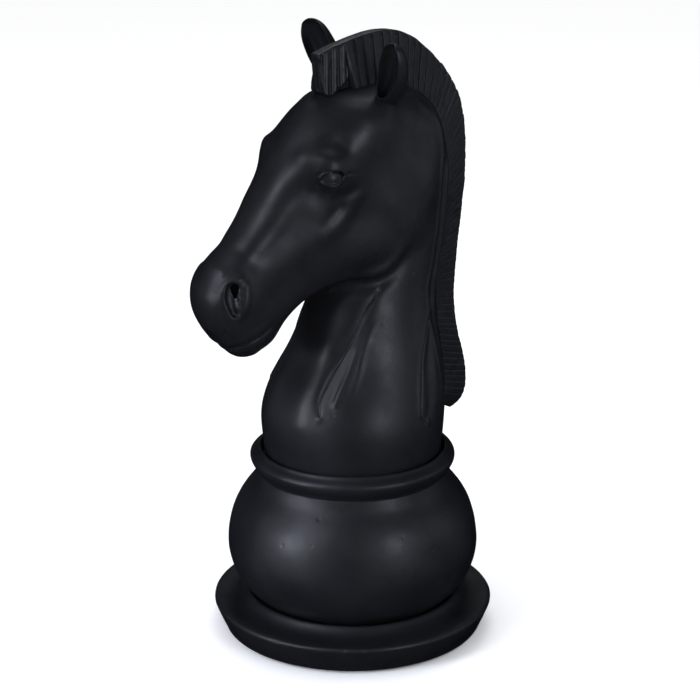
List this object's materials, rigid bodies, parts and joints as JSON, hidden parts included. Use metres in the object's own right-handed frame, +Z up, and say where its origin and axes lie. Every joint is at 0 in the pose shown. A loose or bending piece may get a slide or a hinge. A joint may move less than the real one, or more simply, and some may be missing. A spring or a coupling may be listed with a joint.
{
  "type": "giant chess piece",
  "caption": "Horse-head knight for a lawn chess set: weighted round pedestal with bowl and collar, and a hollow neck and head with pleated mane and ears that lifts off and turns.",
  "frame": {"origin": "centre of the base pad's lower face, on the pedestal axis, at floor level", "axes": "+Z up, the horse faces -Y, its left side is +X"},
  "size_m": [0.23, 0.2677, 0.5015],
  "materials": {
    "black_casting": "satin",
    "cover_plastic": "matte",
    "plug_plastic": "satin",
    "rubber_pad": "matte",
    "seal_rubber": "matte",
    "screw_steel": "zinc plated",
    "zinc_steel": "zinc plated",
    "glide_nylon": "natural nylon",
    "sand": "dry loose sand"
  },
  "bodies": {
    "pedestal": {"base_pad": "rubber_pad", "foot_flange": "black_casting", "cover_gasket": "seal_rubber", "base_cover": "cover_plastic", "cover_screws": "screw_steel", "bowl_shell": "black_casting", "sand_ballast": "sand", "collar_ring": "black_casting", "deck_plate": "cover_plastic", "spigot_oring": "seal_rubber", "lower_washer": "zinc_steel", "lower_nut": "zinc_steel", "upper_washer": "zinc_steel", "upper_nut": "zinc_steel", "tie_rod": "zinc_steel"},
    "glide": {"glide_ring": "glide_nylon"},
    "head": {"head_shell": "black_casting", "neck_plate": "cover_plastic", "neck_plate_screws": "screw_steel", "ear_pins": "zinc_steel", "mane_pins": "zinc_steel", "left_ear": "black_casting", "right_ear": "black_casting", "forelock": "black_casting", "mane_crest": "black_casting"},
    "seal": {"plug_seal": "seal_rubber"},
    "plug": {"fill_plug": "plug_plastic"}
  },
  "joints": [
    {"name": "head_turn", "type": "hinge", "parent": "pedestal", "child": "glide", "pos_m": [0, 0, 0.15], "axis": [0, 0, 1], "continuous": true},
    {"name": "head_lift", "type": "slide", "parent": "glide", "child": "head", "axis": [0, 0, 1], "range_m": [0, 0.08]},
    {"name": "plug_draw", "type": "slide", "parent": "pedestal", "child": "seal", "axis": [0, 0, -1], "range_m": [0, 0.012]},
    {"name": "plug_turn", "type": "hinge", "parent": "seal", "child": "plug", "pos_m": [0, 0.052, 0.0082], "axis": [0, 0, -1], "range_deg": [0, 1080]}
  ],
  "couplings": [
    {"joint": "plug_draw", "follows": "plug_turn", "m_per_rad": 0.00063662}
  ]
}
